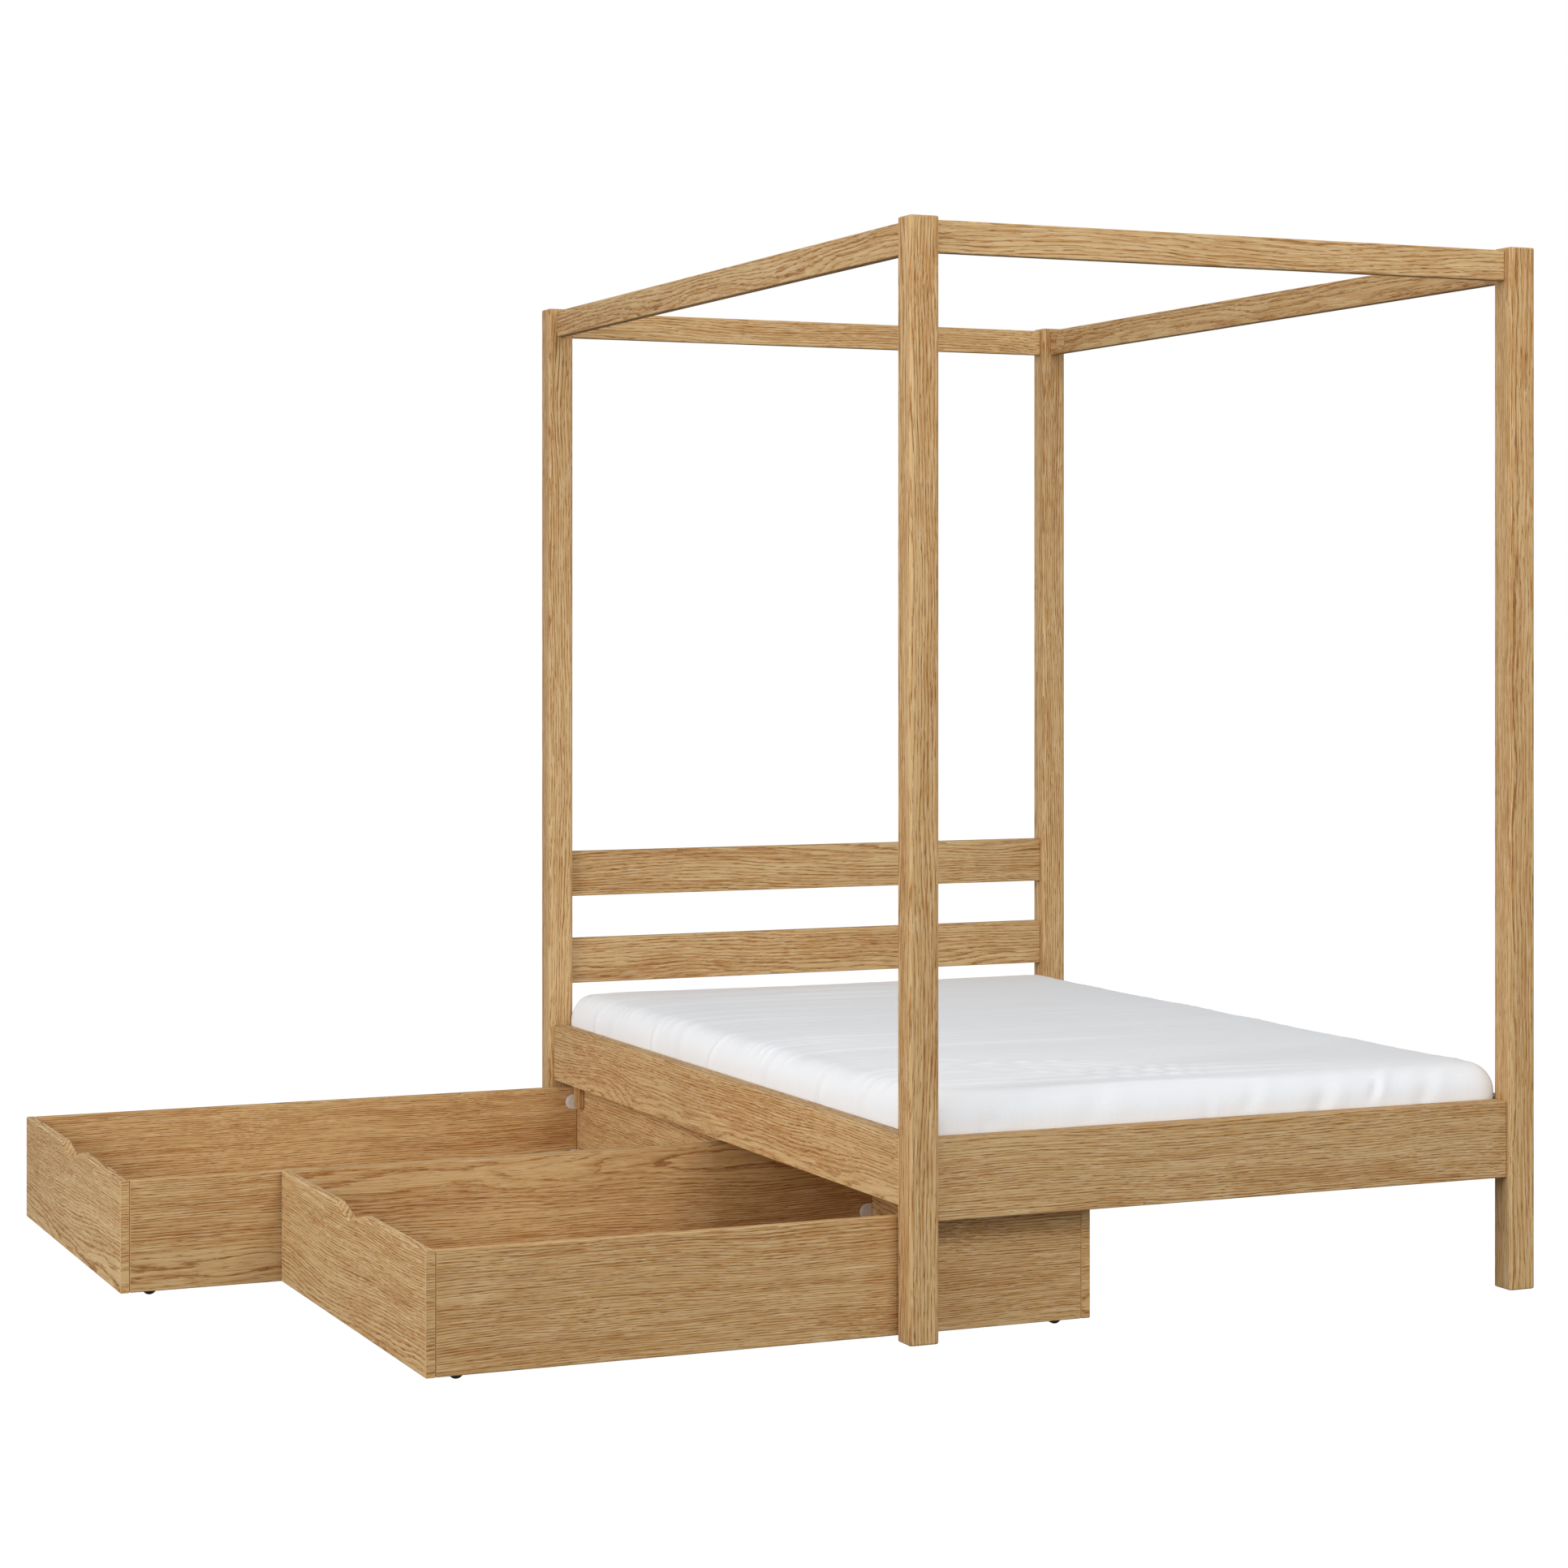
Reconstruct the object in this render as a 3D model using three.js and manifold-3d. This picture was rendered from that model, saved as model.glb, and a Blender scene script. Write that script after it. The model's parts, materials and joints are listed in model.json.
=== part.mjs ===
// Four poster bed in oak: four square posts joined by canopy rails, a two-rail headboard, deep
// side and end rails round a slatted base, a mattress, and two drawers on wheels that roll out
// sideways from under the bed. Millimetres, +Z up, X across the bed, Y along it with the head
// at +Y. The drawers open towards -X. The origin is the middle of the foot of the post at the
// foot end on the drawer side, on the floor.

import * as THREE from 'three'
import { mergeVertices } from 'three/addons/utils/BufferGeometryUtils.js'
import Module from 'manifold-3d'

// ---- driving dimensions ----
const MATTRESS_WIDTH = 1200
const MATTRESS_LENGTH = 2000
const MATTRESS_THICKNESS = 160
const MATTRESS_CORNER = 60
const MATTRESS_EDGE = 28
const MATTRESS_GAP = 4

const POST_WIDTH = 57
const POST_HEIGHT = 1984
const POST_CORNER = 7
const POST_END = 3

const CANOPY_RAIL_HEIGHT = 58
const CANOPY_RAIL_THICKNESS = 21
const CANOPY_DROP = 5

const HEADBOARD_RAIL_HEIGHT = 102
const HEADBOARD_RAIL_THICKNESS = 21
const HEADBOARD_LOWER = 452
const HEADBOARD_UPPER = 650

const RAIL_THICKNESS = 35
const RAIL_TOP = 360
const END_RAIL_HEIGHT = 146
const SIDE_RAIL_HEIGHT = 124

const SEAT_DEPTH = 90
const SLAT_COUNT = 10
const SLAT_WIDTH = 120
const SLAT_THICKNESS = 20
const SLAT_END_MARGIN = 5
const CLEAT_WIDTH = 28

const DRAWER_BOARD = 18
const DRAWER_FLOOR_GAP = 9.5
const DRAWER_TOP_CLEARANCE = 15
const DRAWER_CLEAT_CLEARANCE = 3.7
const DRAWER_POST_CLEARANCE = 3
const DRAWER_MIDDLE_GAP = 4
const DRAWER_FRONT_PROUD = 6
const BASE_THICKNESS = 8
const GROOVE_DEPTH = 6
const NOTCH_WIDTH = 190
const NOTCH_FLAT = 12
const NOTCH_DEPTH = 20
const FOOT_DRAWER_OPENING = 858

const STOP_THICKNESS = 13
const STOP_WIDTH = 37
const STOP_INSET = 14
const STOP_DROP = 44
const SHUT_STOP_WIDTH = 80

const WHEEL_RADIUS = 14
const WHEEL_WIDTH = 10
const WHEEL_END_DISTANCE = 60
const AXLE_RADIUS = 3
const AXLE_PLAY = 0.3
const CHEEK_THICKNESS = 2.2
const CHEEK_PLAY = 0.6
const CHEEK_RADIUS = 6
const PLATE_LENGTH = 44
const PLATE_THICKNESS = 3
const PLATE_LIP = 14
const FORK_CLEARANCE = 0.6
const BASE_ABOVE_WHEEL = 9

const CAP_RADIUS = 21
const CAP_POCKET = 3
const CAP_PROUD = 0.7
const CAP_POST_DISTANCE = 56

const TENON_WALL = 1.5
const TENON_SHOULDER = 10
const TENON_SHARE = 0.4
const EDGE = 1.5
const GAP = 0.3

// ---- derived places ----
const INNER_X = MATTRESS_WIDTH / 2 + MATTRESS_GAP
const INNER_Y = MATTRESS_LENGTH / 2 + MATTRESS_GAP
const AXIS_X = INNER_X + RAIL_THICKNESS / 2
const AXIS_Y = INNER_Y + RAIL_THICKNESS / 2
const POST_INNER_X = AXIS_X - POST_WIDTH / 2
const POST_INNER_Y = AXIS_Y - POST_WIDTH / 2
const RAIL_OUTER_X = INNER_X + RAIL_THICKNESS

const SLAT_TOP = RAIL_TOP - SEAT_DEPTH
const CLEAT_TOP = SLAT_TOP - SLAT_THICKNESS - GAP
const SIDE_RAIL_BOTTOM = RAIL_TOP - SIDE_RAIL_HEIGHT
const DRAWER_TOP = SIDE_RAIL_BOTTOM - DRAWER_TOP_CLEARANCE
const CLEAT_BOTTOM = DRAWER_TOP + DRAWER_CLEAT_CLEARANCE
const CANOPY_TOP = POST_HEIGHT - CANOPY_DROP

const STOP_BOTTOM = DRAWER_TOP - STOP_DROP
const SHUT_FACE = INNER_X - GAP - STOP_THICKNESS - GAP
const OPEN_FACE = -INNER_X + GAP + STOP_THICKNESS + GAP
const DRAWER_DEPTH = SHUT_FACE + RAIL_OUTER_X + DRAWER_FRONT_PROUD
const DRAWER_WIDTH = POST_INNER_Y - DRAWER_POST_CLEARANCE - DRAWER_MIDDLE_GAP / 2
const DRAWER_CENTRE_Y = (DRAWER_WIDTH + DRAWER_MIDDLE_GAP) / 2
const SHUT_FRONT = SHUT_FACE - DRAWER_DEPTH
const FULL_OPENING = SHUT_FRONT - (OPEN_FACE + DRAWER_BOARD - DRAWER_DEPTH)
const BASE_BOTTOM = 2 * WHEEL_RADIUS + BASE_ABOVE_WHEEL
const FORK_HALF = WHEEL_WIDTH / 2 + CHEEK_PLAY + CHEEK_THICKNESS
const WHEEL_SIDE_DISTANCE = DRAWER_BOARD + FORK_CLEARANCE + FORK_HALF

// ---- solid helpers ----
const wasm = await Module()
wasm.setup()

function merged(geometry) {
  const bare = geometry.index ? geometry.toNonIndexed() : geometry.clone()
  for (const key of Object.keys(bare.attributes)) {
    if (key !== 'position') bare.deleteAttribute(key)
  }
  const joined = mergeVertices(bare, 1e-4)
  const index = Array.from(joined.index.array)
  const spot = joined.attributes.position
  const kept = []
  let volume = 0
  const a = new THREE.Vector3()
  const b = new THREE.Vector3()
  const c = new THREE.Vector3()
  for (let i = 0; i < index.length; i += 3) {
    const [p, q, r] = [index[i], index[i + 1], index[i + 2]]
    if (p === q || q === r || r === p) continue
    a.fromBufferAttribute(spot, p)
    b.fromBufferAttribute(spot, q)
    c.fromBufferAttribute(spot, r)
    volume += a.dot(b.cross(c))
    kept.push(p, q, r)
  }
  if (volume < 0) {
    for (let i = 0; i < kept.length; i += 3) {
      const swap = kept[i]
      kept[i] = kept[i + 1]
      kept[i + 1] = swap
    }
  }
  joined.setIndex(kept)
  return joined
}

function toSolid(geometry) {
  const clean = merged(geometry)
  return new wasm.Manifold(new wasm.Mesh({
    numProp: 3,
    vertProperties: new Float32Array(clean.attributes.position.array),
    triVerts: new Uint32Array(clean.index.array),
  }))
}

function fromSolid(solid) {
  const mesh = solid.getMesh()
  const geometry = new THREE.BufferGeometry()
  geometry.setAttribute('position', new THREE.BufferAttribute(new Float32Array(mesh.vertProperties), 3))
  geometry.setIndex(Array.from(mesh.triVerts))
  return geometry
}

// adds and then removes shapes from a base shape
function shaped(base, additions, cuts) {
  let solid = toSolid(base)
  for (const extra of additions) solid = solid.add(toSolid(extra))
  for (const cut of cuts) solid = solid.subtract(toSolid(cut))
  return fromSolid(solid)
}

function box(low, high) {
  const size = [0, 1, 2].map((i) => high[i] - low[i])
  const geometry = new THREE.BoxGeometry(...size)
  geometry.translate((low[0] + high[0]) / 2, (low[1] + high[1]) / 2, (low[2] + high[2]) / 2)
  return geometry
}

function roundedOutline(width, height, radius) {
  const [w, h] = [width / 2, height / 2]
  const shape = new THREE.Shape()
  shape.moveTo(-w + radius, -h)
  shape.lineTo(w - radius, -h)
  shape.absarc(w - radius, -h + radius, radius, -Math.PI / 2, 0)
  shape.lineTo(w, h - radius)
  shape.absarc(w - radius, h - radius, radius, 0, Math.PI / 2)
  shape.lineTo(-w + radius, h)
  shape.absarc(-w + radius, h - radius, radius, Math.PI / 2, Math.PI)
  shape.lineTo(-w, -h + radius)
  shape.absarc(-w + radius, -h + radius, radius, Math.PI, 1.5 * Math.PI)
  return shape
}

// a bar along Z with rounded long edges and softened ends, from z = 0 up
function roundedBar(width, depth, length, corner, end, steps, endSteps) {
  const geometry = new THREE.ExtrudeGeometry(roundedOutline(width, depth, corner), {
    depth: length - 2 * end,
    bevelEnabled: true,
    bevelThickness: end,
    bevelSize: end,
    bevelOffset: -end,
    bevelSegments: endSteps,
    curveSegments: steps,
  })
  geometry.translate(0, 0, end)
  return geometry
}

// a board between two opposite corners, with eased edges, running along its longest side
function board(low, high) {
  const size = [0, 1, 2].map((i) => high[i] - low[i])
  const middle = [0, 1, 2].map((i) => (high[i] + low[i]) / 2)
  const along = size.indexOf(Math.max(...size))
  let geometry
  if (along === 0) {
    geometry = roundedBar(size[2], size[1], size[0], EDGE + 0.8, EDGE, 2, 1)
    geometry.translate(0, 0, -size[0] / 2)
    geometry.rotateY(Math.PI / 2)
  } else if (along === 1) {
    geometry = roundedBar(size[0], size[2], size[1], EDGE + 0.8, EDGE, 2, 1)
    geometry.translate(0, 0, -size[1] / 2)
    geometry.rotateX(-Math.PI / 2)
  } else {
    geometry = roundedBar(size[0], size[1], size[2], EDGE + 0.8, EDGE, 2, 1)
    geometry.translate(0, 0, -size[2] / 2)
  }
  geometry.translate(...middle)
  return geometry
}

// ---- materials and the group ----
const wood = (colour) => new THREE.MeshStandardMaterial({ color: colour, roughness: 0.6, metalness: 0 })
const OAK = wood('#be996a')
const OAK_DARK = wood('#a27f54')
const PINE = wood('#d8bd8c')
const TICKING = new THREE.MeshStandardMaterial({ color: '#f3f2f0', roughness: 0.95, metalness: 0 })
const BLACK = new THREE.MeshStandardMaterial({ color: '#1c1c1d', roughness: 0.5, metalness: 0 })

const bed = new THREE.Group()
bed.position.set(AXIS_X, AXIS_Y, 0)

function piece(name, geometry, material, parent = bed) {
  const mesh = new THREE.Mesh(merged(geometry), material)
  mesh.name = name
  parent.add(mesh)
  return mesh
}

// ---- posts and rails ----
// every rail that runs between posts: its direction, section, height and joint side
const railKinds = []
for (const [end, side] of [['foot', -1], ['head', 1]]) {
  railKinds.push({ name: `canopy_rail_${end}`, along: 'x', side, bottom: CANOPY_TOP - CANOPY_RAIL_HEIGHT,
    height: CANOPY_RAIL_HEIGHT, thickness: CANOPY_RAIL_THICKNESS })
  railKinds.push({ name: `end_rail_${end}`, along: 'x', side, bottom: RAIL_TOP - END_RAIL_HEIGHT,
    height: END_RAIL_HEIGHT, thickness: RAIL_THICKNESS })
}
for (const [hand, side] of [['left', -1], ['right', 1]]) {
  railKinds.push({ name: `canopy_rail_${hand}`, along: 'y', side, bottom: CANOPY_TOP - CANOPY_RAIL_HEIGHT,
    height: CANOPY_RAIL_HEIGHT, thickness: CANOPY_RAIL_THICKNESS, capped: true })
  railKinds.push({ name: `side_rail_${hand}`, along: 'y', side, bottom: SIDE_RAIL_BOTTOM,
    height: SIDE_RAIL_HEIGHT, thickness: RAIL_THICKNESS })
}
for (const [level, bottom] of [['lower', HEADBOARD_LOWER], ['upper', HEADBOARD_UPPER]]) {
  railKinds.push({ name: `headboard_rail_${level}`, along: 'x', side: 1, bottom,
    height: HEADBOARD_RAIL_HEIGHT, thickness: HEADBOARD_RAIL_THICKNESS })
}

// half-size of a tenon across its rail, and how deep it goes into the post
const tenonHalf = (rail) => rail.thickness * TENON_SHARE / 2
const tenonDepth = (rail) => POST_WIDTH / 2 - tenonHalf(rail) - TENON_WALL

// a box given along the rail's own direction, turned into bed coordinates
function railBox(rail, from, to, halfAcross, low, high) {
  const centre = rail.side * (rail.along === 'x' ? AXIS_Y : AXIS_X)
  if (rail.along === 'x') return [[from, centre - halfAcross, low], [to, centre + halfAcross, high]]
  return [[centre - halfAcross, from, low], [centre + halfAcross, to, high]]
}

function capDisc(radius, from, to, y, z) {
  const disc = new THREE.CylinderGeometry(radius, radius, Math.abs(to - from), 40)
  disc.rotateZ(Math.PI / 2)
  disc.translate((from + to) / 2, y, z)
  return disc
}

const CAP_SPOTS = [['foot', -1], ['head', 1]]
const CAP_Y = POST_INNER_Y - CAP_POST_DISTANCE

for (const rail of railKinds) {
  const face = (rail.along === 'x' ? POST_INNER_X : POST_INNER_Y) - GAP
  const top = rail.bottom + rail.height
  const half = tenonHalf(rail)
  const reach = face + GAP + tenonDepth(rail) - GAP
  const body = board(...railBox(rail, -face, face, rail.thickness / 2, rail.bottom, top))
  const low = rail.bottom + TENON_SHOULDER
  const high = top - TENON_SHOULDER
  const tenons = [
    box(...railBox(rail, -reach, -face + 5, half, low, high)),
    box(...railBox(rail, face - 5, reach, half, low, high)),
  ]
  const pockets = []
  if (rail.capped) {
    const inner = rail.side * (AXIS_X - rail.thickness / 2)
    const floor = inner + rail.side * CAP_POCKET
    const z = rail.bottom + rail.height / 2
    for (const [end, way] of CAP_SPOTS) {
      pockets.push(capDisc(CAP_RADIUS + GAP, inner - rail.side * 5, floor, way * CAP_Y, z))
      const hand = rail.side < 0 ? 'left' : 'right'
      piece(`cap_${hand}_${end}`,
        capDisc(CAP_RADIUS, inner - rail.side * CAP_PROUD, floor - rail.side * GAP, way * CAP_Y, z), OAK)
    }
  }
  piece(rail.name, shaped(body, tenons, pockets), OAK)
}

for (const [end, wayY] of [['foot', -1], ['head', 1]]) {
  for (const [hand, wayX] of [['left', -1], ['right', 1]]) {
    const post = roundedBar(POST_WIDTH, POST_WIDTH, POST_HEIGHT, POST_CORNER, POST_END, 5, 2)
    post.translate(wayX * AXIS_X, wayY * AXIS_Y, 0)
    const mortises = []
    for (const rail of railKinds) {
      const mine = rail.along === 'x' ? rail.side === wayY : rail.side === wayX
      if (!mine) continue
      const way = rail.along === 'x' ? wayX : wayY
      const face = rail.along === 'x' ? POST_INNER_X : POST_INNER_Y
      const ends = [way * (face - 5), way * (face + tenonDepth(rail))].sort((p, q) => p - q)
      const low = rail.bottom + TENON_SHOULDER - GAP
      const high = rail.bottom + rail.height - TENON_SHOULDER + GAP
      mortises.push(box(...railBox(rail, ends[0], ends[1], tenonHalf(rail) + GAP, low, high)))
    }
    piece(`post_${end}_${hand}`, shaped(post, [], mortises), OAK)
  }
}

// ---- slatted base ----
const CLEAT_HALF = POST_INNER_Y - GAP
for (const [hand, way] of [['left', -1], ['right', 1]]) {
  const sides = [way * (INNER_X - GAP), way * (INNER_X - GAP - CLEAT_WIDTH)].sort((p, q) => p - q)
  piece(`cleat_${hand}`,
    board([sides[0], -CLEAT_HALF, CLEAT_BOTTOM], [sides[1], CLEAT_HALF, CLEAT_TOP]), OAK_DARK)
}
const SLAT_HALF = INNER_X - 1.5
const FIRST_SLAT = POST_INNER_Y - SLAT_END_MARGIN - SLAT_WIDTH / 2
for (let i = 0; i < SLAT_COUNT; i += 1) {
  const y = -FIRST_SLAT + 2 * FIRST_SLAT * i / (SLAT_COUNT - 1)
  piece(`slat_${String(i + 1).padStart(2, '0')}`,
    board([-SLAT_HALF, y - SLAT_WIDTH / 2, SLAT_TOP - SLAT_THICKNESS],
      [SLAT_HALF, y + SLAT_WIDTH / 2, SLAT_TOP]), PINE)
}

// ---- mattress ----
const mattress = roundedBar(MATTRESS_WIDTH, MATTRESS_LENGTH, MATTRESS_THICKNESS,
  MATTRESS_CORNER, MATTRESS_EDGE, 6, 4)
mattress.translate(0, 0, SLAT_TOP + GAP)
piece('mattress', mattress, TICKING)

// ---- stops ----
for (const [end, way] of [['foot', -1], ['head', 1]]) {
  const wallFace = POST_INNER_Y - DRAWER_POST_CLEARANCE - DRAWER_BOARD
  const ys = [way * (wallFace - STOP_INSET), way * (wallFace - STOP_INSET - STOP_WIDTH)].sort((p, q) => p - q)
  piece(`open_stop_${end}`, board([-INNER_X + GAP, ys[0], STOP_BOTTOM],
    [-INNER_X + GAP + STOP_THICKNESS, ys[1], CLEAT_BOTTOM - GAP]), OAK_DARK)
}
piece('shut_stop', board([INNER_X - GAP - STOP_THICKNESS, -SHUT_STOP_WIDTH / 2, STOP_BOTTOM],
  [INNER_X - GAP, SHUT_STOP_WIDTH / 2, CLEAT_BOTTOM - GAP]), OAK_DARK)

// ---- drawers ----
// the front board: a rectangle with a shallow vee cut in the middle of its top edge
function notchedBoard(x0, x1) {
  const [w, h] = [DRAWER_WIDTH / 2, DRAWER_TOP]
  const edge = EDGE
  const outline = new THREE.Shape()
  outline.moveTo(-w, DRAWER_FLOOR_GAP)
  outline.lineTo(w, DRAWER_FLOOR_GAP)
  outline.lineTo(w, h)
  outline.lineTo(NOTCH_WIDTH / 2, h)
  outline.lineTo(NOTCH_FLAT / 2, h - NOTCH_DEPTH)
  outline.lineTo(-NOTCH_FLAT / 2, h - NOTCH_DEPTH)
  outline.lineTo(-NOTCH_WIDTH / 2, h)
  outline.lineTo(-w, h)
  outline.closePath()
  const geometry = new THREE.ExtrudeGeometry(outline, {
    depth: x1 - x0 - 2 * edge,
    bevelEnabled: true,
    bevelThickness: edge,
    bevelSize: edge,
    bevelOffset: -edge,
    bevelSegments: 1,
  })
  geometry.translate(0, 0, x0 + edge)
  // local (x, y, z) becomes (z, x, y): width along Y, height along Z, thickness along X
  geometry.applyMatrix4(new THREE.Matrix4().set(0, 0, 1, 0, 1, 0, 0, 0, 0, 1, 0, 0, 0, 0, 0, 1))
  return geometry
}

// one wheel and its fork, centred on the axle
function wheelShape() {
  const half = WHEEL_WIDTH / 2
  const rim = 1.5
  const bore = AXLE_RADIUS + AXLE_PLAY
  const profile = [
    [bore, -half], [WHEEL_RADIUS - rim, -half], [WHEEL_RADIUS, -half + rim],
    [WHEEL_RADIUS, half - rim], [WHEEL_RADIUS - rim, half], [bore, half], [bore, -half],
  ].map(([r, y]) => new THREE.Vector2(r, y))
  return new THREE.LatheGeometry(profile, 24)
}

// the fork's plate has a lip for its screws on the side away from the wall, so it comes in two hands
function forkShape(way) {
  const plateTop = BASE_BOTTOM - GAP - WHEEL_RADIUS
  const plateLow = plateTop - PLATE_THICKNESS
  const inner = WHEEL_WIDTH / 2 + CHEEK_PLAY
  const outer = FORK_HALF
  const [lipLow, lipHigh] = way > 0 ? [PLATE_LIP, 0] : [0, PLATE_LIP]
  const plate = box([-PLATE_LENGTH / 2, -outer - lipLow, plateLow],
    [PLATE_LENGTH / 2, outer + lipHigh, plateTop])
  const outline = new THREE.Shape()
  outline.moveTo(-PLATE_LENGTH / 2 + 6, plateLow + 1)
  outline.lineTo(-CHEEK_RADIUS, 0)
  outline.absarc(0, 0, CHEEK_RADIUS, Math.PI, 2 * Math.PI)
  outline.lineTo(PLATE_LENGTH / 2 - 6, plateLow + 1)
  outline.closePath()
  const cheeks = [-outer, inner].map((y) => {
    const cheek = new THREE.ExtrudeGeometry(outline, {
      depth: CHEEK_THICKNESS, bevelEnabled: false, curveSegments: 8 })
    cheek.rotateX(Math.PI / 2)
    cheek.translate(0, y + CHEEK_THICKNESS, 0)
    return cheek
  })
  const axle = new THREE.CylinderGeometry(AXLE_RADIUS, AXLE_RADIUS, 2 * outer - 1, 16)
  return shaped(plate, [...cheeks, axle], [])
}

function drawer(name, centreY, opening) {
  const group = new THREE.Group()
  group.position.set(SHUT_FRONT - opening, centreY, 0)
  bed.add(group)
  const w = DRAWER_WIDTH / 2
  const far = DRAWER_DEPTH
  const t = DRAWER_BOARD
  const baseTop = BASE_BOTTOM + BASE_THICKNESS
  const depthIn = GROOVE_DEPTH
  const grooveLow = BASE_BOTTOM - GAP
  const grooveHigh = baseTop + GAP
  // the base panel sits in grooves cut in all four boards
  const groove = box([t - depthIn - GAP, -w + t - depthIn - GAP, grooveLow],
    [far - t + depthIn + GAP, w - t + depthIn + GAP, grooveHigh])
  piece(`${name}_front`, shaped(notchedBoard(0, t), [], [groove]), OAK, group)
  piece(`${name}_back`,
    shaped(board([far - t, -w, DRAWER_FLOOR_GAP], [far, w, DRAWER_TOP]), [], [groove]), OAK, group)
  for (const [side, way] of [['foot', -1], ['head', 1]]) {
    const ys = [way * w, way * (w - t)].sort((p, q) => p - q)
    const wall = board([t + GAP, ys[0], DRAWER_FLOOR_GAP], [far - t - GAP, ys[1], DRAWER_TOP])
    piece(`${name}_wall_${side}`, shaped(wall, [], [groove]), OAK, group)
  }
  piece(`${name}_base`, box([t - depthIn, -w + t - depthIn, BASE_BOTTOM],
    [far - t + depthIn, w - t + depthIn, baseTop]), PINE, group)
  const ends = [['front', WHEEL_END_DISTANCE], ['rear', far - WHEEL_END_DISTANCE]]
  for (const [place, x] of ends) {
    for (const [side, way] of [['foot', -1], ['head', 1]]) {
      const y = way * (w - WHEEL_SIDE_DISTANCE)
      const wheel = piece(`${name}_wheel_${place}_${side}`, wheelShape(), BLACK, group)
      wheel.position.set(x, y, WHEEL_RADIUS)
      const fork = piece(`${name}_fork_${place}_${side}`, forkShape(way), BLACK, group)
      fork.position.set(x, y, WHEEL_RADIUS)
    }
  }
}

drawer('drawer_head', DRAWER_CENTRE_Y, FULL_OPENING)
drawer('drawer_foot', -DRAWER_CENTRE_Y, FOOT_DRAWER_OPENING)

const model = new THREE.Group()
model.add(bed)

export default model
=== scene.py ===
"""Four poster bed in oak with two under-bed drawers: finishes, mattress, wheels, fittings and studio.

Laid out as an add-on: properties hold the sizes and colours, one operator makes each kind of piece,
and main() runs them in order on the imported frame.
"""

import json
import math

import bmesh
import bpy
import numpy as np
from bpy.props import FloatProperty, FloatVectorProperty, IntProperty, PointerProperty
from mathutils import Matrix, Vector


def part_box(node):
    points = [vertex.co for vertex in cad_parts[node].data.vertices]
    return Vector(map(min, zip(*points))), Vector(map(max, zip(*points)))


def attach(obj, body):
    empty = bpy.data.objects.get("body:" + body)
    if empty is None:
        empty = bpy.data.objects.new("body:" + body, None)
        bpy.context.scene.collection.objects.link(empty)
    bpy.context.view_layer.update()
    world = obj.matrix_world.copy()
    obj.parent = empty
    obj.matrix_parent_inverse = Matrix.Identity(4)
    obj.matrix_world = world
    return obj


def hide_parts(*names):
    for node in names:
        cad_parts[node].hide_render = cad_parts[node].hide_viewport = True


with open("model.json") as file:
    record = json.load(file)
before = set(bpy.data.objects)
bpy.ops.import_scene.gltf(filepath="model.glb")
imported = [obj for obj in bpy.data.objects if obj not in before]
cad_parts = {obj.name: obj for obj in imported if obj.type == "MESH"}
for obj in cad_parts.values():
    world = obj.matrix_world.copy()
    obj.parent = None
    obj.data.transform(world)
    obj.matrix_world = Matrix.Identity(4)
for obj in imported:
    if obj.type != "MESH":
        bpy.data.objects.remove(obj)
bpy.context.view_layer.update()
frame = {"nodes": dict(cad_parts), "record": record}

bl_info = {
    "name": "Four Poster Bed",
    "version": (1, 0, 0),
    "blender": (4, 5, 0),
    "location": "View3D > Sidebar > Bed",
    "description": "Finishes a four poster bed with drawers in oak, with its mattress, wheels and fittings",
    "category": "Object",
}

NODES = [part["node"] for part in frame["record"]["subparts"]]
DRAWERS = ("drawer_head", "drawer_foot")
WHEELS = [(drawer, end, side) for drawer in DRAWERS for end in ("front", "rear") for side in ("foot", "head")]
# painted light and shade: the colour of some boards, found by a part of their name, is made paler or darker
# than the rest, standing in for more or less light falling on them
BOARD_LIGHT_GAINS = {
    "_wall_": 0.93, "headboard": 0.93, "canopy_rail_head": 1.11, "drawer_head_front": 1.12,
    "drawer_foot_front": 1.03, "side_rail_left": 0.96}
# what the oak's colour is multiplied by on the pine boards and on the plain boards under the bed
PINE_TINT = (1.22, 1.3, 1.45)
PLAIN_TINT = (0.9, 0.88, 0.85)


# ---------------------------------------------------------------- measuring the frame

def corners(node):
    """Lowest and highest corner of a CAD node, as arrays in metres."""
    low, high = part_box(node)
    return np.array(low, float), np.array(high, float)


def span(*nodes):
    """Lowest and highest corner of several CAD nodes together."""
    pairs = [corners(node) for node in nodes]
    return np.min([p[0] for p in pairs], axis=0), np.max([p[1] for p in pairs], axis=0)


BED_LOW, BED_HIGH = span("post_foot_left", "post_foot_right", "post_head_left", "post_head_right")
BED_MIDDLE = (BED_LOW + BED_HIGH) / 2


# ---------------------------------------------------------------- properties

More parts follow.
